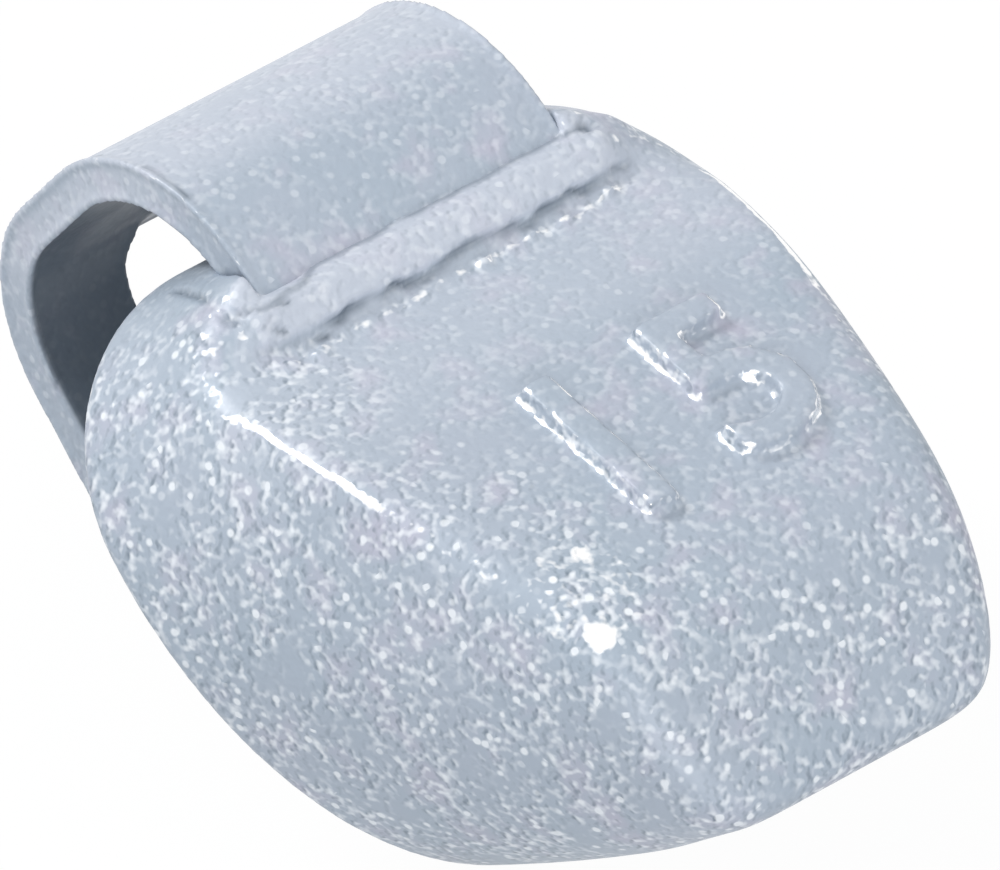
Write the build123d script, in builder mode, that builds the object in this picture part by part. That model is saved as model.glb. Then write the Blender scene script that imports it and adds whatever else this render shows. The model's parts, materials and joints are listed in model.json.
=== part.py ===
from build123d import *
from math import atan2, cos, radians, sin, tan
import os

os.makedirs("parts", exist_ok=True)

# A clip-on wheel balance weight, lying on its back as it comes to rest on a table.
# Sizes are in millimetres. Depths run forward from the seat face, which bears on the
# rim flange. Heights and drops run up and down along that face from the casting's top.

# Spring strip of the clip
strip_width = 9.5
strip_thickness = 1.15
strip_cover = 2.65
jaw_gap = 6.9
crest_height = 3.45
crest_fall_angle = 6.5
front_bend_radius = 4.0
rear_bend_radius = 2.95
leg_drop = 7.6
leg_corner_radius = 1.9
window_width = 3.5
window_top = 1.5
window_drop = 4.8
window_corner_radius = 1.0
tang_drop = 9.5
tang_hole_diameter = 3.4
tang_hole_drop = 6.5

# Outline of the casting at the seat face
seat_flat_width = 9.2
seat_width = 19.55
seat_waist_drop = 5.15
seat_height = 16.25
seat_foot_width = 5.0

# Outline towards which the flanks run, in front of the casting's nose
nose_depth = 11.85
nose_flat_width = 1.7
nose_width = 10.15
nose_top_drop = 1.6
nose_waist_drop = 12.1
foot_flare = 1.85
nose_cheek_width = 1.5

# Swell of the flanks half way between the two outlines
flank_swell = 0.25

# Side profile of the casting's front
neck_drop = 2.9
face_middle_depth = 7.7
face_middle_drop = 7.05
brow_depth = 11.5
brow_drop = 12.6
brow_radius = 4.5
chin_lean_angle = 7.0
neck_fillet_radius = 0.95
ridge_radius = 0.5
edge_radius = 0.4

# Collar bead across the strip's front, and the groove under it
collar_drop = 2.1
collar_radius = 0.58
collar_overhang = 1.25
groove_cover = 0.15

# Place of the seat face's top along the lying object
seat_top_y = 7.11

# The lying object touches the table with the casting's foot and the leg's tip
foot_slope = atan2(foot_flare + 4 * flank_swell, nose_depth)
foot_height = edge_radius * (1 / cos(foot_slope) - tan(foot_slope)) - seat_height
tip_depth = edge_radius - jaw_gap - strip_thickness
tip_height = edge_radius - leg_drop
tilt = atan2(edge_radius - tip_depth, tip_height - foot_height)
seat_top_z = edge_radius - edge_radius * cos(tilt) - foot_height * sin(tilt)

seat_top = (0, seat_top_y, seat_top_z)
forward = (0, -sin(tilt), cos(tilt))
seat = Plane(origin=seat_top, x_dir=(1, 0, 0), z_dir=forward)
side = Plane(origin=seat_top, x_dir=forward, z_dir=(-1, 0, 0))

# Spring clip: a strip bent round the rim flange, with a window in its free leg
strip_front = strip_cover + strip_thickness
strip_depth = strip_cover + strip_thickness / 2
leg_depth = -jaw_gap - strip_thickness / 2
crest_fall = (strip_depth - leg_depth) * tan(radians(crest_fall_angle))
bends = [radius + strip_thickness / 2 for radius in (front_bend_radius, rear_bend_radius)]

with BuildPart() as spring_clip:
    with BuildSketch(side):
        with BuildLine():
            FilletPolyline(
                (strip_depth, -tang_drop),
                (strip_depth, crest_height),
                (leg_depth, crest_height - crest_fall),
                (leg_depth, -leg_drop),
                radius=bends,
            )
        trace(line_width=strip_thickness)
    extrude(amount=strip_width / 2, both=True)
    leg_tip = seat.from_local_coords((0, -leg_drop, leg_depth))
    tip_face = spring_clip.faces().sort_by_distance(leg_tip)[0]
    fillet(tip_face.edges().filter_by(Axis.X), edge_radius)
    with BuildSketch(seat.offset(leg_depth)):
        with Locations((0, -leg_drop)):
            Rectangle(strip_width, leg_corner_radius, align=(Align.CENTER, Align.MIN))
            RectangleRounded(
                strip_width, leg_drop, leg_corner_radius,
                align=(Align.CENTER, Align.MIN), mode=Mode.SUBTRACT,
            )
    extrude(amount=strip_thickness, both=True, mode=Mode.SUBTRACT)
    with BuildSketch(seat.offset(leg_depth)):
        with Locations((0, window_top)):
            RectangleRounded(
                window_width, window_top + window_drop, window_corner_radius,
                align=(Align.CENTER, Align.MAX),
            )
    extrude(amount=rear_bend_radius + strip_thickness, both=True, mode=Mode.SUBTRACT)
    with BuildSketch(seat.offset(strip_depth)):
        with Locations((0, -tang_hole_drop)):
            Circle(tang_hole_diameter / 2)
    extrude(amount=strip_thickness, both=True, mode=Mode.SUBTRACT)

spring_clip.part.label = "spring_clip"
export_step(spring_clip.part, "parts/spring_clip.step")


def shield(plane, flat_width, width, foot_width, top, waist, foot):
    """Flat top and foot, joined at the waist by four elliptical quarters."""
    flat = flat_width / 2
    toe = foot_width / 2
    rise = top - waist
    fall = waist - foot
    with BuildSketch(plane) as outline:
        with BuildLine():
            Line((-flat, top), (flat, top))
            EllipticalCenterArc((flat, waist), width / 2 - flat, rise, 0, arc_size=90)
            EllipticalCenterArc((toe, waist), width / 2 - toe, fall, 270, arc_size=90)
            Line((-toe, foot), (toe, foot))
            EllipticalCenterArc((-toe, waist), width / 2 - toe, fall, 180, arc_size=90)
            EllipticalCenterArc((-flat, waist), width / 2 - flat, rise, 90, arc_size=90)
        make_face()
    return outline.sketch


def depth(point):
    """Distance of a point in front of the seat face."""
    return seat.to_local_coords(point).Z


# Casting: flanks drawn in from the seat outline, with a profiled front cut through them
nose_height = seat_height + foot_flare
nose_foot_width = nose_width - 2 * nose_cheek_width
seat_outline = shield(
    seat, seat_flat_width, seat_width, seat_foot_width, 0, -seat_waist_drop, -seat_height
)
middle_outline = shield(
    seat.offset(nose_depth / 2),
    (seat_flat_width + nose_flat_width) / 2,
    (seat_width + nose_width) / 2 + 2 * flank_swell,
    (seat_foot_width + nose_foot_width) / 2,
    -nose_top_drop / 2,
    -(seat_waist_drop + nose_waist_drop) / 2,
    -(seat_height + nose_height) / 2 - flank_swell,
)
nose_outline = shield(
    seat.offset(nose_depth), nose_flat_width, nose_width, nose_foot_width,
    -nose_top_drop, -nose_waist_drop, -nose_height,
)
neck_depth = strip_front + groove_cover
neck = (neck_depth, -neck_drop)
brow = (brow_depth, -brow_drop)
chin_drop = nose_height + brow_radius
chin = (brow_depth - (chin_drop - brow_drop) * tan(radians(chin_lean_angle)), -chin_drop)
collar_width = strip_width + 2 * collar_overhang
collar_middle = seat.from_local_coords((0, -collar_drop, strip_front))

with BuildPart() as cast_body:
    loft([seat_outline, middle_outline, nose_outline])
    with BuildSketch(side) as front_profile:
        with BuildLine():
            Polyline(chin, (-jaw_gap, -chin_drop), (-jaw_gap, jaw_gap), (neck_depth, jaw_gap), neck)
            ThreePointArc(neck, (face_middle_depth, -face_middle_drop), brow)
            Line(brow, chin)
        make_face()
        fillet(front_profile.vertices().sort_by_distance(brow)[0], brow_radius)
        fillet(front_profile.vertices().sort_by_distance(neck)[0], neck_fillet_radius)
    extrude(amount=seat_width, both=True, mode=Mode.INTERSECT)
    curved = cast_body.edges().filter_by(GeomType.BSPLINE)
    ridge = curved.filter_by(lambda edge: min(depth(edge @ 0), depth(edge @ 1)) > edge_radius)
    fillet(ridge, ridge_radius)
    seat_face = cast_body.faces().sort_by(lambda face: depth(face.center()))[0]
    fillet(seat_face.edges(), edge_radius)
    with BuildSketch(seat.offset(strip_cover)):
        with Locations((0, -collar_drop)):
            Rectangle(strip_width, collar_drop + crest_height, align=(Align.CENTER, Align.MIN))
    extrude(amount=neck_depth, mode=Mode.SUBTRACT)
    with BuildSketch(seat.offset(strip_front)):
        with Locations((0, -collar_drop)):
            SlotOverall(collar_width, 2 * collar_radius)
            Rectangle(collar_width, collar_radius, align=(Align.CENTER, Align.MAX), mode=Mode.SUBTRACT)
    revolve(axis=Axis(collar_middle, (1, 0, 0)))
    add(spring_clip.part, mode=Mode.SUBTRACT)

cast_body.part.label = "cast_body"
export_step(cast_body.part, "parts/cast_body.step")
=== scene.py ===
# %% [markdown]
# # A clip-on wheel balance weight
# The real thing is a small zinc casting, poured round one end of a bent strip of spring steel.
# Casting and strip were then coated together with silvery flake paint. The solids come from the
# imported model, which is loaded first. Everything that follows is made in the same frame, in metres.

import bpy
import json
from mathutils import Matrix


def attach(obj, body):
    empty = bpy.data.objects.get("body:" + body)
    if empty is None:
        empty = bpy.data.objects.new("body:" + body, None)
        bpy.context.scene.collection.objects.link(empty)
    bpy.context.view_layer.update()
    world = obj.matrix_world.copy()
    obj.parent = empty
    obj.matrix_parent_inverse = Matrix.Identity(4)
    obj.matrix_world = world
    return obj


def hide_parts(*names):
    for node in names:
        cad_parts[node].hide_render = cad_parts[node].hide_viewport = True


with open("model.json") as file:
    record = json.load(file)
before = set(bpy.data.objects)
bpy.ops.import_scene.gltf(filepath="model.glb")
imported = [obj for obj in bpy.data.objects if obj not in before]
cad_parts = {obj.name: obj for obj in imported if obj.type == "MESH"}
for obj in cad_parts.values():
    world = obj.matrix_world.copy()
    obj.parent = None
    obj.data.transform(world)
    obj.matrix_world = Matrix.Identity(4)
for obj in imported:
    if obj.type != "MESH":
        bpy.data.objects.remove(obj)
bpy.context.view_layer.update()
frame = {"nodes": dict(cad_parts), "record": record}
print("nodes:", sorted(frame["nodes"]))

# %% Modules and small helpers
import json
from math import cos, radians, sin

import bpy
import numpy as np
from mathutils import Matrix, Vector

MM = 0.001


def pick(*objects):
    """Leaves these as the only selected objects, the first one active."""
    bpy.ops.object.select_all(action="DESELECT")
    for obj in objects:
        obj.select_set(True)
    bpy.context.view_layer.objects.active = objects[0]


def apply_modifier(obj, kind, **settings):
    """Adds one modifier with its settings and applies it at once."""
    pick(obj)
    modifier = obj.modifiers.new(kind.lower(), kind)
    for name, value in settings.items():
        setattr(modifier, name, value)
    bpy.ops.object.modifier_apply(modifier=modifier.name)


# %% [markdown]
# ## The weight's own directions
# The weight lies on its back, so its own directions are tilted against the table. Three words are
# enough to place anything on it: across (along the rim), depth (forward from the seat face) and
# height (up along the seat face from the casting's top). The seat's mount in the record gives the
# tilt, so nothing has to be measured on the mesh.

# %% Own directions, read from the seat's mount
seat_mount = next(m for m in frame["record"]["mounts"] if m["name"] == "rim_seat")
seat_mount_drop = 8.0
across = Vector((1, 0, 0))
forward = -Vector(seat_mount["axis"]).normalized()
upward = forward.cross(across)
seat_top = Vector(seat_mount["pos_m"]) + upward * seat_mount_drop * MM


def place(x, depth, height):
    """Point of the lying weight, from its own directions in millimetres."""
    return seat_top + (across * x + forward * depth + upward * height) * MM


def own_places(obj):
    """Across, depth and height of every vertex in millimetres."""
    points = np.empty(len(obj.data.vertices) * 3)
    obj.data.vertices.foreach_get("co", points)
    points = (points.reshape(-1, 3) - np.array(seat_top)) / MM
    return points @ np.array((across, forward, upward)).T


print("seat top:", [round(c / MM, 2) for c in seat_top], "upward:", [round(c, 3) for c in upward])

# %% [markdown]
# ## Camera
# The photograph was taken from far away with a long lens, so its lines hardly converge. The weight
# is seen from 30 degrees to the left of its face, and the picture is rolled by 28 degrees. Lens and
# distance together make one millimetre 42.4 pixels of the 1000 pixels across.

# %% Camera at the photograph's angle
pixels_across = 1000
pixels_per_mm = 42.4
view_left = radians(30)
picture_roll = radians(28)
camera_distance = 600 * MM

level_right = across * cos(view_left) + forward * sin(view_left)
camera_back = forward * cos(view_left) - across * sin(view_left)
camera_right = level_right * cos(picture_roll) - upward * sin(picture_roll)
camera_up = level_right * sin(picture_roll) + upward * cos(picture_roll)

# The strip's left front edge at the collar is seen at this pixel, counted from the top left.
anchor = place(-4.75, 3.8, -0.8)
anchor_pixel = (245, 272)
middle_pixel = (500, 435)
aim = anchor + camera_right * ((middle_pixel[0] - anchor_pixel[0]) / pixels_per_mm * MM)
aim = aim - camera_up * ((middle_pixel[1] - anchor_pixel[1]) / pixels_per_mm * MM)

bpy.ops.object.camera_add(location=aim + camera_back * camera_distance)
camera = bpy.context.object
camera.rotation_euler = Matrix((camera_right, camera_up, camera_back)).transposed().to_euler()
camera.data.sensor_width = 36
camera.data.lens = camera.data.sensor_width * camera_distance / (pixels_across / pixels_per_mm * MM)
bpy.context.scene.camera = camera
print("lens:", round(camera.data.lens), "mm, camera at", [round(c, 3) for c in camera.location])

# %% [markdown]
# ## Casting
# Die castings have no sharp corners: every edge is rounded, and the coating rounds it further. The
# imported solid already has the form, so a copy of its mesh is the start. Its loose triangles are
# merged here, and a voxel remesh, once the collar is on, makes small even faces of them.

# %% Copy of the casting's mesh
weld_gap = 0.002


def merged_copy(node, name):
    """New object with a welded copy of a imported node's mesh."""
    obj = bpy.data.objects.new(name, frame["nodes"][node].data.copy())
    bpy.context.scene.collection.objects.link(obj)
    obj.data.materials.clear()
    pick(obj)
    bpy.ops.object.mode_set(mode="EDIT")
    bpy.ops.mesh.select_all(action="SELECT")
    bpy.ops.mesh.remove_doubles(threshold=weld_gap * MM)
    bpy.ops.object.mode_set(mode="OBJECT")
    return obj


casting = merged_copy("cast_body", "coated_casting")
print("casting:", len(casting.data.polygons), "triangles before the remesh")

# %% [markdown]
# ## Collar
# The collar is metal that was pushed up against the strip. Its upper side slopes like a chamfer and
# catches the light, a low step parts it from the face, and it runs out flat at both ends. A bevelled
# block could not run out, so a block is cut into slices, and its front is given a profile that is
# full in the middle and nothing at the ends. Its upper edge wanders, as metal that froze there does.

# %% Shape of the collar
from mathutils import noise

strip_front = 3.8
collar_half_length, collar_full_half_length = 6.6, 4.6
collar_top, collar_edge, collar_bottom = -1.3, -2.65, -3.7
collar_back, collar_proud, collar_step = 3.3, 0.6, 0.16
collar_film = 0.03
top_edge_drop, top_edge_dip, top_edge_wave = 0.1, 0.3, 0.12


def ramp(value, low, high):
    """Smooth step from 0 at low to 1 at high."""
    share = np.clip((value - low) / (high - low), 0, 1)
    return share * share * (3 - 2 * share)


def wander(values, pitch, seed):
    """Noise from -1 to 1 along a line, with one wave in about each pitch."""
    return np.array([noise.noise(Vector((v / pitch, seed, 0))) for v in values])


def top_edge(x):
    """Height of the collar's upper edge, with a dip where the strip's left corner shows."""
    dip = top_edge_dip * ramp(-x, 2.8, 4.0)
    return collar_top - top_edge_drop - dip + top_edge_wave * wander(x, 0.9, 23)


# %% Sloping collar on the bead
bpy.ops.mesh.primitive_cube_add(size=1)
collar = bpy.context.object
turn = Matrix((across, forward, upward)).transposed().to_4x4()
block_size = (2 * collar_half_length * MM, MM, (collar_top - collar_bottom) * MM)
centre = place(0, collar_back + 0.5, (collar_top + collar_bottom) / 2)
collar.matrix_world = Matrix.Translation(centre) @ turn @ Matrix.Diagonal((*block_size, 1))
bpy.ops.object.transform_apply(location=True, rotation=True, scale=True)
bpy.ops.object.mode_set(mode="EDIT")
bpy.ops.mesh.select_all(action="SELECT")
bpy.ops.mesh.subdivide(number_cuts=36)
bpy.ops.object.mode_set(mode="OBJECT")

# The block is 1 mm deep, so a vertex's depth in it is its share of the new front.
x, depth, height = own_places(collar).T
top = top_edge(x)
slope = np.clip((top - height) / (top - collar_edge) / 0.85, 0, 1)
step = 1 - ramp(height, collar_edge - 0.12, collar_edge + 0.04)
run_out = 1 - ramp(np.abs(x), collar_full_half_length, collar_half_length)
front = strip_front + collar_film + run_out * (collar_proud * slope - collar_step * step)
front = np.where(height > top + 0.02, strip_front - 0.25, front)
depth = collar_back + (depth - collar_back) * (front - collar_back)
for vertex, own_place in zip(collar.data.vertices, np.stack((x, depth, height), 1)):
    vertex.co = place(*own_place)
pick(casting, collar)
bpy.ops.object.join()
print("casting with collar:", len(casting.data.polygons), "faces")

# %% [markdown]
# ## One skin
# Casting and collar are two closed skins that cut each other. A boolean could join them, but would
# leave long thin faces that can't be smoothed. A voxel remesh joins them too, and leaves even faces.
# Its cell is as small as the limit on triangles allows. Its cell is a little over a tenth of a
# millimetre.

# %% Even skin over the casting
casting_cell = 0.1268


def even_skin(obj, cell, smoothing):
    """Small even faces all over, then a few rounds of smoothing."""
    apply_modifier(obj, "REMESH", mode="VOXEL", voxel_size=cell * MM, use_smooth_shade=True)
    apply_modifier(obj, "SMOOTH", factor=0.5, iterations=smoothing)
    print(obj.name, "skin:", len(obj.data.polygons), "faces")


even_skin(casting, casting_cell, 3)

# %% [markdown]
# ## Worn die, soft corners
# The ridge between face and flank is crisp under the collar and fades towards the nose, where the
# die has washed out. A fillet of one radius can't do that. Smoothing can, when a vertex group says
# how much of it each place gets: all at the brow, and none where the ridge is still sharp.

# %% Smoothing by weight
wash_rounds = 220
least_weight = 0.01


def weigh(obj, name, weights):
    """Vertex group from one weight per vertex."""
    group = obj.vertex_groups.new(name=name)
    for index in np.flatnonzero(weights > least_weight):
        group.add([int(index)], float(weights[index]), "REPLACE")


x, depth, height = own_places(casting).T
nose_wash = ramp(depth, 6.6, 9.0)
shoulder_wash = ramp(np.abs(x), 5.2, 6.2) * ramp(height, -4.2, -3.0) * ramp(depth, 1.0, 2.0)
wash = np.maximum(nose_wash, shoulder_wash)
weigh(casting, "wash", wash)
apply_modifier(casting, "SMOOTH", factor=0.5, iterations=wash_rounds, vertex_group="wash")
print("washed vertices:", int((wash > least_weight).sum()))

# %% [markdown]
# ## Raised numerals
# Weights carry their mass in raised numerals, cut into the die and so cast in one with the face.
# Text is a quick way to get their outlines. It is made a mesh, laid on the face where a ray from
# the front meets it, and joined to the casting. A second remesh fuses the two skins.

# %% Numerals on the sloping face
numeral_across, numeral_up = 0.7, -8.6
numeral_height, numeral_stroke_gain, numeral_spacing = 4.8, 0.09, 1.2
numeral_relief, numeral_sink = 0.38, 0.6
capital_share = 0.7

ray_start = place(numeral_across, 30, numeral_up)
met, face_point, face_normal, _ = casting.ray_cast(ray_start, -forward)
face_up = face_normal.cross(across).normalized()

bpy.ops.object.text_add()
numerals = bpy.context.object
numerals.data.body = "15"
numerals.data.align_x = "CENTER"
numerals.data.align_y = "CENTER"
numerals.data.size = numeral_height / capital_share * MM
numerals.data.space_character = numeral_spacing
numerals.data.offset = numeral_stroke_gain * MM
numerals.data.extrude = (numeral_relief + numeral_sink) / 2 * MM
bpy.ops.object.convert(target="MESH")
numerals = bpy.context.object
turn = Matrix((across, face_up, face_normal)).transposed().to_4x4()
middle = face_point + face_normal * (numeral_relief - numeral_sink) / 2 * MM
numerals.matrix_world = Matrix.Translation(middle) @ turn
pick(numerals)
bpy.ops.object.transform_apply(location=True, rotation=True, scale=True)
bpy.ops.object.mode_set(mode="EDIT")
bpy.ops.mesh.select_all(action="SELECT")
bpy.ops.mesh.remove_doubles(threshold=weld_gap * MM)
bpy.ops.mesh.normals_make_consistent(inside=False)
bpy.ops.object.mode_set(mode="OBJECT")
pick(casting, numerals)
bpy.ops.object.join()
even_skin(casting, casting_cell, 2)
print("numerals met the face:", met, "at", [round(c / MM, 2) for c in face_point])

# %% [markdown]
# ## Torn seam under the collar
# Where the metal closed round the strip it left a collar and, under it, a torn seam: a thin
# crack that wanders, a ragged lip below it, and short folds at the collar's left end. Cracks this
# fine could be sculpted by hand. Here they are written as heights over the surface, which move each
# vertex along its normal, so that they can be changed by a number.

# %% Tools for marks on a surface


def normals_of(obj):
    """Normal of every vertex."""
    normals = np.empty(len(obj.data.vertices) * 3)
    obj.data.vertices.foreach_get("normal", normals)
    return normals.reshape(-1, 3)


def near_line(places, points, width):
    """One on a chain of points, fading out over about two widths."""
    marks = np.zeros(len(places))
    for start, end in zip(points[:-1], points[1:]):
        start, way = np.array(start), np.array(end) - np.array(start)
        share = np.clip((places - start) @ way / (way @ way), 0, 1)
        gap = np.linalg.norm(places - start - share[:, None] * way, axis=1)
        marks = np.maximum(marks, np.exp(-((gap / width) ** 2)))
    return marks


def push_out(obj, amounts):
    """Moves every vertex along its normal by an amount in millimetres."""
    points = np.empty(len(obj.data.vertices) * 3)
    obj.data.vertices.foreach_get("co", points)
    points = points + (normals_of(obj) * (amounts * MM)[:, None]).ravel()
    obj.data.vertices.foreach_set("co", points)
    obj.data.update()


# %% Crack, lip and folds
seam_half_length, seam_fade = 6.3, 1.2
crack_height, crack_width, crack_deep = -2.78, 0.1, 0.17
lip_height, lip_width, lip_proud = -3.25, 0.16, 0.22
top_seam_width = 0.07
fold_width, fold_deep = 0.08, 0.12
folds = (
    ((-5.34, 1.47, -0.37), (-5.56, 2.77, -0.82), (-5.84, 3.93, -1.7), (-4.85, 4.38, -2.49)),
    ((-5.54, 4.02, -1.61), (-4.34, 4.33, -1.91)),
    ((-5.07, 3.99, -2.65), (-3.82, 4.3, -3.07)),
)
dimple = ((5.2, 4.0, -1.45), (5.28, 4.0, -1.5))
dimple_width, dimple_deep = 0.16, 0.15

places = own_places(casting)
x, depth, height = places.T
ends = (1 - ramp(np.abs(x), seam_half_length - seam_fade, seam_half_length)) * (depth > 3.2)
crack_line = crack_height + 0.16 * wander(x, 1.6, 0) + 0.1 * wander(x, 0.45, 7)
crack_strength = np.clip(0.7 + 0.7 * wander(x, 0.9, 3), 0, 1) * ends * (0.3 + 0.7 * ramp(x, -4.6, -3.2))
crack = crack_strength * np.exp(-((height - crack_line) / crack_width) ** 2)
lip_line = lip_height + 0.2 * wander(x, 1.3, 11) + 0.1 * wander(x, 0.35, 5)
lip_band = ends * np.exp(-((height - lip_line) / lip_width) ** 2)
lip = lip_band * np.clip(0.35 + 0.9 * wander(x, 0.5, 17), 0, 1)
shaken = places + np.outer(wander(x, 0.5, 31), (0, 0, 0.12))
fold = np.max([near_line(shaken, points, fold_width) for points in folds], axis=0)
pit = near_line(places, dimple, dimple_width)
push_out(casting, lip_proud * lip - crack_deep * crack - fold_deep * fold - dimple_deep * pit)

# The crack, the folds and the dimple are darkened with painted shade, and the line where the collar
# meets the strip is a dark joint line.
top_line = top_edge(x) - 0.02
top_seam = np.exp(-((height - top_line) / top_seam_width) ** 2) * (depth > 3.7) * (np.abs(x) < 5.2)
dark_lines_and_crease_shade = np.max((0.6 * top_seam, crack, 0.7 * fold, 0.8 * pit), axis=0)
print("seam vertices:", int((dark_lines_and_crease_shade > 0.1).sum()), "deepest", round(crack.max() * crack_deep, 2), "mm")

# %% [markdown]
# ## Spring clip
# The strip is stamped and bent from sheet steel. Its cut edges are square, but coating gathers along
# them in a thin bead. A bevel would take those edges away. Instead the sharp edges of the copied mesh
# are split off, made a curve with a round section and joined back, and the remesh fuses bead and
# strip. The strip is drawn in first, so that the bead doesn't make it larger.

# %% Strip with a bead along its edges
bead_radius, strip_draw_in = 0.08, 0.095
clip_cell = 0.1
clip = merged_copy("spring_clip", "coated_clip")
apply_modifier(clip, "DISPLACE", strength=-strip_draw_in * MM, mid_level=0)
pick(clip)
bpy.ops.object.mode_set(mode="EDIT")
bpy.ops.mesh.select_all(action="DESELECT")
bpy.ops.mesh.select_mode(type="EDGE")
bpy.ops.mesh.edges_select_sharp(sharpness=radians(50))
bpy.ops.object.mode_set(mode="OBJECT")

# The leg's tip is rounded in itself, so its edges get no bead.
_, depth, height = own_places(clip).T
at_tip = (depth < -6) & (height < -5.2)
for edge in clip.data.edges:
    edge.select = edge.select and not at_tip[edge.vertices[0]]
bpy.ops.object.mode_set(mode="EDIT")
bpy.ops.mesh.duplicate()
bpy.ops.mesh.separate(type="SELECTED")
bpy.ops.object.mode_set(mode="OBJECT")
edges = next(o for o in bpy.context.selected_objects if o != clip)
pick(edges)
bpy.ops.object.convert(target="CURVE")
edges.data.bevel_depth = bead_radius * MM
edges.data.bevel_resolution = 2
bpy.ops.object.convert(target="MESH")
pick(clip, bpy.context.object)
bpy.ops.object.join()
even_skin(clip, clip_cell, 3)

# %% [markdown]
# ## Silver flake paint
# Casting and clip are sprayed with silver paint: aluminium flakes in a clear, slightly blue binder,
# baked on. The eye sees a soft blue-grey, short bright strokes where a flake happens to face the
# light, a small shade beside each of them, and a slightly pebbled skin. Real flakes are some
# hundredths of a millimetre. Here they are drawn as the clusters that a picture of this size shows,
# the bright strokes and glints as painted highlights and the shade beside each as painted shade.
# A picture of the paint could be laid on instead, but would stretch on the bent forms. Noise in the
# object's own coordinates doesn't, and it is turned, because along the axes its lattice would show.

# %% Colours and nodes


def srgb(code):
    """Linear colour with alpha from a hex code."""
    channels = [int(code[i:i + 2], 16) / 255 for i in (1, 3, 5)]
    return [c / 12.92 if c <= 0.04045 else ((c + 0.055) / 1.055) ** 2.4 for c in channels] + [1]


def add(tree, kind, links=(), values=(), **settings):
    """Adds a node with its settings, input values and links from (input, node, output)."""
    node = tree.nodes.new("ShaderNode" + kind)
    for name, value in settings.items():
        setattr(node, name, value)
    for name, value in dict(values).items():
        node.inputs[name].default_value = value
    for name, source, output in links:
        tree.links.new(source.outputs[output], node.inputs[name])
    return node


# %% Paint that reads marks on the mesh
flake_size, glint_spacing, grain_size = 0.22, 0.3, 0.26
patch_size, cloud_size = 1.3, 4.0
flake_shade = [c * MM for c in (0.03, -0.03, -0.06)]
pattern_turn = (0.6, 0.9, 0.4)
paint_marks = ("frost", "painted_light", "dark_lines_and_crease_shade", "hook_inside_shade", "painted_highlight")
pebble_height = 0.06


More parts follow.
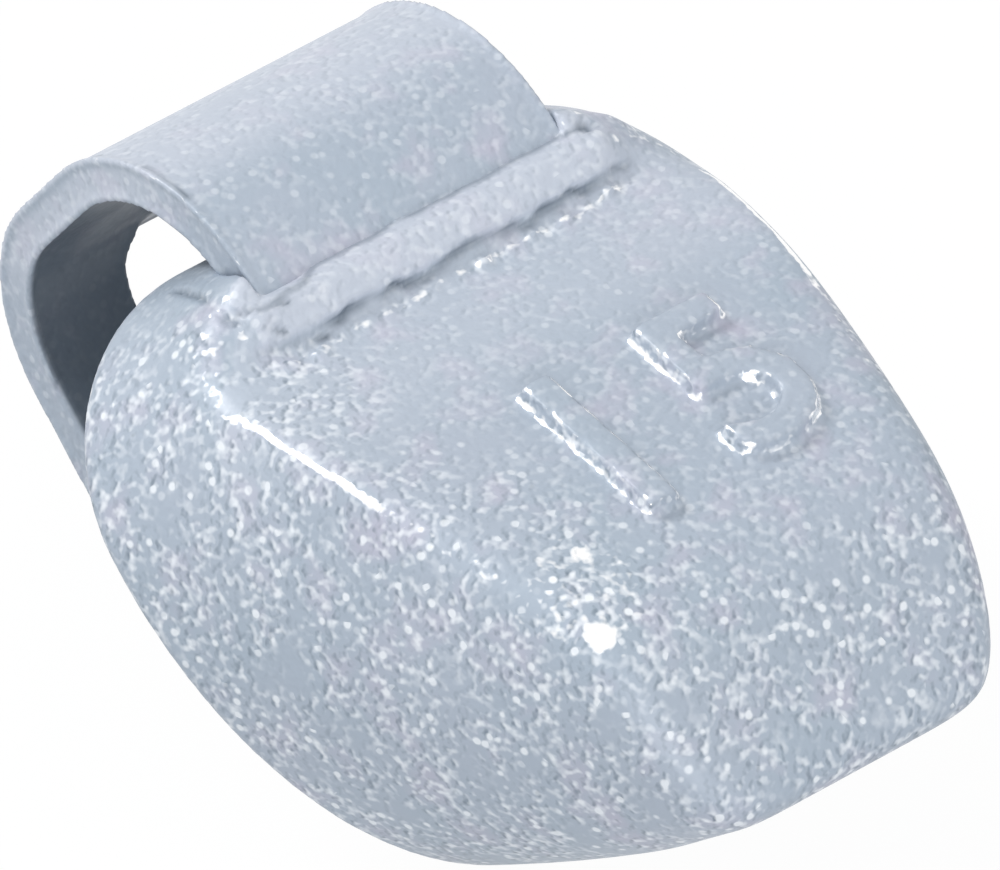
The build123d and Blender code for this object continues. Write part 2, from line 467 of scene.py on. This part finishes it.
def flake_paint(name):
    """Silver flake paint; marks on the mesh say where it carries frost of painted flake highlights and
    shade, painted light, dark lines and painted crease shade, painted shade inside the hook, and painted
    highlight.
    """
    material = bpy.data.materials.new(name)
    material.use_nodes = True
    tree = material.node_tree
    paint = tree.nodes["Principled BSDF"]
    own = add(tree, "TexCoord")
    turned = add(tree, "Mapping", [("Vector", own, "Object")], {"Rotation": pattern_turn})
    beside = add(tree, "VectorMath", [(0, turned, "Vector")], {1: flake_shade}, operation="ADD")
    marks = {mark: add(tree, "Attribute", attribute_name=mark) for mark in paint_marks}

    # Patterns: size in millimetres, detail, and where they are looked up
    patterns = {
        "flakes": (flake_size, 0.6, turned),
        "shades": (flake_size, 0.6, beside),
        "grains": (grain_size, 1.0, turned),
        "patches": (patch_size, 2.0, turned),
        "clouds": (cloud_size, 2.0, turned),
    }
    noises = {}
    for pattern, (size, detail, source) in patterns.items():
        values = {"Scale": 1 / (size * MM), "Detail": detail, "Roughness": 0.5}
        noises[pattern] = add(tree, "TexNoise", [("Vector", source, "Vector")], values)
    flakes, shades, grains = noises["flakes"], noises["shades"], noises["grains"]
    values = {"Scale": 1 / (glint_spacing * MM), "Randomness": 1.0}
    points = add(tree, "TexVoronoi", [("Vector", turned, "Vector")], values)
    chance = add(tree, "SeparateColor", [("Color", points, "Color")])
    drop = add(tree, "Math", [(0, shades, "Fac"), (1, flakes, "Fac")], operation="SUBTRACT")
    highlight_sum = add(tree, "Math", [(0, marks["painted_highlight"], "Fac"), (1, grains, "Fac")], operation="ADD")

    # Shares: none at the first number and all at the second
    ranges = {
        "frosted": (marks["frost"], "Fac", 0.0, 1.05),
        "dense": (noises["patches"], "Fac", 0.3, 0.5),
        "stroke": (flakes, "Fac", 0.5, 0.78),
        "shade": (drop, 0, 0.03, 0.3),
        "point": (points, "Distance", 0.45, 0.25),
        "chosen": (chance, "Red", 0.75, 0.9),
        "lilac": (noises["patches"], "Fac", 0.52, 0.9),
        "highlight_share": (highlight_sum, 0, 0.94, 1.2),
    }
    shares = {}
    for share, (node, output, none, all_of_it) in ranges.items():
        values = {"From Min": none, "From Max": all_of_it}
        shares[share] = add(tree, "MapRange", [("Value", node, output)], values)
    sums = (
        ("strokes", "stroke", "dense", "MULTIPLY"),
        ("glints", "point", "chosen", "MULTIPLY"),
        ("bright", "strokes", "glints", "ADD"),
        ("light", "bright", "frosted", "MULTIPLY"),
        ("shaded", "shade", "dense", "MULTIPLY"),
        ("dark", "shaded", "frosted", "MULTIPLY"),
    )
    for result, one, other, operation in sums:
        links = [(0, shares[one], 0), (1, shares[other], 0)]
        shares[result] = add(tree, "Math", links, operation=operation, use_clamp=True)

    # Layers of colour, each over the one before
    values = {"Color1": srgb("#9CABB8"), "Color2": srgb("#ADB4C1")}
    colour = add(tree, "MixRGB", [("Fac", noises["clouds"], "Fac")], values)
    layers = (
        (shares["lilac"], 0, "#B9B6C6"),
        # painted light: paler collar, upper face and clip crest
        (marks["painted_light"], "Fac", "#CDD1DC"),
        # painted shade beside each flake, then painted highlights of flakes and glints
        (shares["dark"], 0, "#65737F"),
        (shares["light"], 0, "#F2F5F8"),
        # dark joint line and scratch, and painted shade in the crack, folds and dimple
        (marks["dark_lines_and_crease_shade"], "Fac", "#5E6B79"),
        # painted shade inside the hook
        (marks["hook_inside_shade"], "Fac", "#3E4B57"),
        # painted highlight in white
        (shares["highlight_share"], 0, "#FFFFFF"),
    )
    for share, output, code in layers:
        links = [("Fac", share, output), ("Color1", colour, 0)]
        colour = add(tree, "MixRGB", links, {"Color2": srgb(code)})

    # Paint is dull and hardly metallic; under the painted highlight it is white, glossier and more
    # metallic.
    highlight_share = [("Value", shares["highlight_share"], 0)]
    rough = add(tree, "MapRange", highlight_share, {"To Min": 0.6, "To Max": 0.25})
    metal = add(tree, "MapRange", highlight_share, {"To Min": 0.1, "To Max": 0.9})
    pebbles = {"Strength": 0.5, "Distance": pebble_height * MM}
    bump = add(tree, "Bump", [("Height", grains, "Fac")], pebbles)
    tree.links.new(colour.outputs[0], paint.inputs["Base Color"])
    tree.links.new(rough.outputs[0], paint.inputs["Roughness"])
    tree.links.new(metal.outputs[0], paint.inputs["Metallic"])
    tree.links.new(bump.outputs["Normal"], paint.inputs["Normal"])
    paint.inputs["Coat Weight"].default_value = 0.3
    paint.inputs["Coat Roughness"].default_value = 0.25
    return material


casting.data.materials.append(flake_paint("zinc_casting_silver_flake"))
clip.data.materials.append(flake_paint("spring_steel_silver_flake"))
print("paints:", [obj.data.materials[0].name for obj in (casting, clip)])

# %% [markdown]
# ## Painted light and shade on the casting
# Frost, the amount of painted flake highlights and flake shade, is thickest on the flanks and the
# chin and thins out over the face. The collar and the upper face are painted paler, as painted light.
# A painted highlight in white lies on the ridge, on the lip, round the numerals and in two spots at
# the brow, where the paint is also glossier and more metallic. Such marks could be painted by hand in
# weight paint. Numbers on the vertices do the same, worked out from place and normal.

# %% Marks on the casting
face_frost_least, low_face_frost, ridge_frost, collar_frost = 0.25, 0.1, 0.32, 0.08
side_frost, spot_frost = 0.75, 0.9
brow_spots = (((-5.0, 10.97, -12.24), 0.62, 0.78), ((-3.97, 10.11, -10.37), 0.42, 0.72))
brow_middle, brow_reach = (-4.6, 10.5, -11.2), 2.6


def store(obj, name, values):
    """Keeps one number per vertex on the mesh for the material to read."""
    attribute = obj.data.attributes.new(name, "FLOAT", "POINT")
    attribute.data.foreach_set("value", values.astype(np.float32))


def spot_at(places, centre, radius):
    """One near a point, fading to nothing at the radius."""
    return 1 - ramp(np.linalg.norm(places - np.array(centre), axis=1), 0.4 * radius, radius)


own_axes = np.array((across, forward, upward))
normals = normals_of(casting) @ own_axes.T
places = own_places(casting)
x, depth, height = places.T
side_facing = np.abs(normals[:, 0])
on_collar = ramp(height, -2.75, -2.65) * (depth > 3.7) * (np.abs(x) < 5.5)
near_spots = spot_at(places, brow_middle, brow_reach)

# Frost sets how much painted flake highlight and flake shade there is.
flank = ramp(side_facing, 0.35, 0.7)
chin = ramp(-height, 10.5, 14)
towards_ridge = ramp(-x - 0.55 * height, 6.0, 9.8) * ramp(-height, 2.5, 4)
left_shoulder = ramp(-x, 2.5, 5.2) * ramp(-height, 2.5, 3.0) * (1 - ramp(-height, 4, 6.5))
frost = face_frost_least + low_face_frost * ramp(-height, 6, 11)
frost = frost + ridge_frost * towards_ridge + collar_frost * on_collar
sides = np.max((flank, chin, left_shoulder, lip_band), axis=0)
frost = np.max((frost, side_frost * sides, spot_frost * near_spots), axis=0)

# Painted highlight: white on the ridge, the brow spots, the seat's rim, round the numerals and on the
# lip.
on_ridge = ramp(side_facing, 0.34, 0.46) * (1 - ramp(side_facing, 0.64, 0.76))
on_ridge = on_ridge * ramp(normals[:, 1], 0.4, 0.5)
crisp = ramp(height, -8.0, -6.4) * (1 - ramp(height, -4.6, -3.4))
painted_highlight = on_ridge * (0.38 * ramp(height, -12, -11) + 0.62 * crisp)
for centre, radius, strength in brow_spots:
    painted_highlight += strength * spot_at(places, centre, radius)
painted_highlight = np.maximum(painted_highlight, 0.38 * near_spots)
seat_rim = (1 - ramp(depth, 0.3, 0.6)) * (1 - ramp(-normals[:, 1], 0.5, 0.8))
painted_highlight += 0.4 * seat_rim * ramp(height, -8, -6)
in_numerals = (np.abs(x - numeral_across) < 4.2) & (np.abs(height - numeral_up) < 3)
face_on = normals @ (own_axes @ np.array(face_normal))
painted_highlight += 0.37 * in_numerals * (1 - ramp(face_on, 0.75, 0.92)) + 0.48 * lip_band

# Painted light: the collar and the upper face are painted paler.
upper_face = ramp(height, -7, -4.5) * (1 - on_collar) * (depth > 4)
store(casting, "frost", frost)
store(casting, "painted_light", 0.55 * on_collar + 0.25 * upper_face)
# Dark joint line, and painted shade in the crack, folds and dimple.
store(casting, "dark_lines_and_crease_shade", dark_lines_and_crease_shade)
store(casting, "painted_highlight", np.clip(painted_highlight, 0, 1))
print("casting: mean frost", round(float(frost.mean()), 2), "rubbed vertices", int((painted_highlight > 0.4).sum()))

# %% [markdown]
# ## Painted light and shade on the clip
# The clip's paint is even outside and painted paler over the bend, as painted light. Inside the hook
# the colour is darkened with painted shade. The outer edges carry a painted highlight, and a scratch
# runs along the left one. The inside is told from the outside by normals that point towards the jaw's
# middle.

# %% Marks on the clip
jaw_middle = np.array((0, -2, -2))
scratch = ((-4.48, -0.41, 3.32), (-4.52, 1.52, 2.48), (-4.56, 2.72, 1.42))
clip_frost = 0.26

places = own_places(clip)
normals = normals_of(clip) @ own_axes.T
off_middle, edge_facing = np.abs(places[:, 0]), np.abs(normals[:, 0])
inwards = jaw_middle - places
inwards[:, 0] = 0
inwards /= np.linalg.norm(inwards, axis=1)[:, None]
facing_in = (normals * inwards).sum(1)
inside = ramp(facing_in, 0.4, 0.8) * (1 - ramp(off_middle, 4.5, 4.7))
outside = 1 - ramp(facing_in, -0.1, 0.2)
rim = ramp(edge_facing, 0.2, 0.4) * (1 - ramp(edge_facing, 0.85, 0.97)) * ramp(off_middle, 4.4, 4.6)
scratched = np.maximum(near_line(places, scratch, 0.05), near_line(places, scratch[1:], 0.08))
store(clip, "frost", np.full(len(places), clip_frost))
# Painted light: the clip is painted paler over the bend.
store(clip, "painted_light", 0.5 * outside * ramp(places[:, 2], 0.8, 2.6))
store(clip, "dark_lines_and_crease_shade", 0.8 * scratched)
# Painted shade inside the hook.
store(clip, "hook_inside_shade", 0.8 * inside)
# Painted highlight along the clip's outer edges.
store(clip, "painted_highlight", 0.42 * rim * outside)
print("clip: bare vertices", int((inside > 0.5).sum()), "of", len(places))

# %% [markdown]
# ## Onto the frame
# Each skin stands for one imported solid, which is hidden but still there for the simulation. The
# casting holds the clip fast, so both ride on the one body.

# %% Hand the pieces to the frame
for piece, node in ((casting, "cast_body"), (clip, "spring_clip")):
    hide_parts(node)
    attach(piece, "root")
print("pieces on root:", casting.name, clip.name)

# %% [markdown]
# ## Floor
# A white sweep, plain and pale. For the camera, and in reflections, most of the floor's white is its
# own glow, so that it meets the background without a line, and the rest is lit, so that the weight
# keeps its shadow. What it throws back onto the weight is a calmer grey.

# %% Floor
floor_glow_share = 0.96


def seen_rays(tree):
    """One for rays that show something: to the camera, in a reflection or through glass."""
    rays = add(tree, "LightPath")
    links = [(0, rays, "Is Camera Ray"), (1, rays, "Is Glossy Ray")]
    seen = add(tree, "Math", links, operation="MAXIMUM")
    links = [(0, seen, 0), (1, rays, "Is Transmission Ray")]
    return add(tree, "Math", links, operation="MAXIMUM")


bpy.ops.mesh.primitive_plane_add(size=3)
floor = bpy.context.object
floor.name = "studio_floor"
floor_paint = bpy.data.materials.new("pale_floor")
floor_paint.use_nodes = True
tree = floor_paint.node_tree
tree.nodes.clear()
seen = seen_rays(tree)
share = add(tree, "Math", [(0, seen, 0)], {1: floor_glow_share}, operation="MULTIPLY")
values = {"Color1": srgb("#C0C3C6"), "Color2": srgb("#FFFFFF")}
tint = add(tree, "MixRGB", [("Fac", seen, 0)], values)
matt = add(tree, "BsdfDiffuse", [("Color", tint, 0)])
glow = add(tree, "Emission", values={"Color": srgb("#FFFFFF"), "Strength": 1.0})
blend = add(tree, "MixShader", [(0, share, 0), (1, matt, 0), (2, glow, 0)])
add(tree, "OutputMaterial", [("Surface", blend, 0)])
floor.data.materials.append(floor_paint)
print("floor:", floor.name, "with", floor_paint.name)

# %% [markdown]
# ## Light and background
# The photograph's light is soft and comes from all sides, with a little more from behind. A dim white
# world gives the first part, and three soft lamps the rest. The camera sees a pure white background.

# %% World
world = bpy.data.worlds.new("white_studio")
bpy.context.scene.world = world
world.use_nodes = True
tree = world.node_tree
tree.nodes.clear()
seen = seen_rays(tree)
dim = add(tree, "Background", values={"Color": srgb("#F4F7FA"), "Strength": 0.6})
white = add(tree, "Background", values={"Color": srgb("#FFFFFF"), "Strength": 1.0})
blend = add(tree, "MixShader", [(0, seen, 0), (1, dim, 0), (2, white, 0)])
add(tree, "OutputWorld", [("Surface", blend, 0)])
print("world:", world.name)

# %% Lamps
lamp_target = place(0, 4, -8)


def lamp(name, direction, distance, size, power):
    """Square soft lamp that shines on the weight from a direction; millimetres and watts."""
    towards = Vector(direction).normalized()
    bpy.ops.object.light_add(type="AREA", location=lamp_target + towards * distance * MM)
    obj = bpy.context.object
    obj.name = name
    obj.rotation_euler = towards.to_track_quat("Z", "Y").to_euler()
    obj.data.size = size * MM
    obj.data.energy = power
    obj.visible_camera = False


lamp("key_lamp", (-0.3, 0.6, 0.7), 350, 110, 0.68)
lamp("left_lamp", (-0.5, -0.8, 0.25), 450, 350, 1.2)
lamp("fill_lamp", (0.7, -0.5, 0.6), 500, 400, 0.33)
bpy.context.scene.view_settings.view_transform = "Standard"
